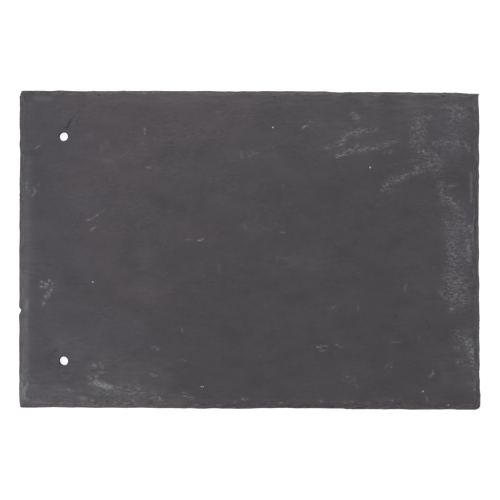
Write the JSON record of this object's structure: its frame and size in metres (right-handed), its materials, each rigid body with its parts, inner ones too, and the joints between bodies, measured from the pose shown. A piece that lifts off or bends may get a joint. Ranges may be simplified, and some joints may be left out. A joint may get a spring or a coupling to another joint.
{
  "type": "slate roof tile",
  "caption": "Rectangular natural roofing slate with hand-dressed, chipped bevel edges and nail holes through it near the head.",
  "frame": {"origin": "under the middle of the slab, on the bed that lies on the roof", "axes": "+X along the slate's length from the nailed head to the tail, +Y across its width, +Z out of the face"},
  "size_m": [0.3196, 0.2199, 0.005],
  "materials": {
    "slate": "riven natural slate, matt dark grey with a faint purple cast, pale scuffs and chipped edges"
  },
  "bodies": {
    "root": {"slate": "slate"}
  },
  "joints": []
}
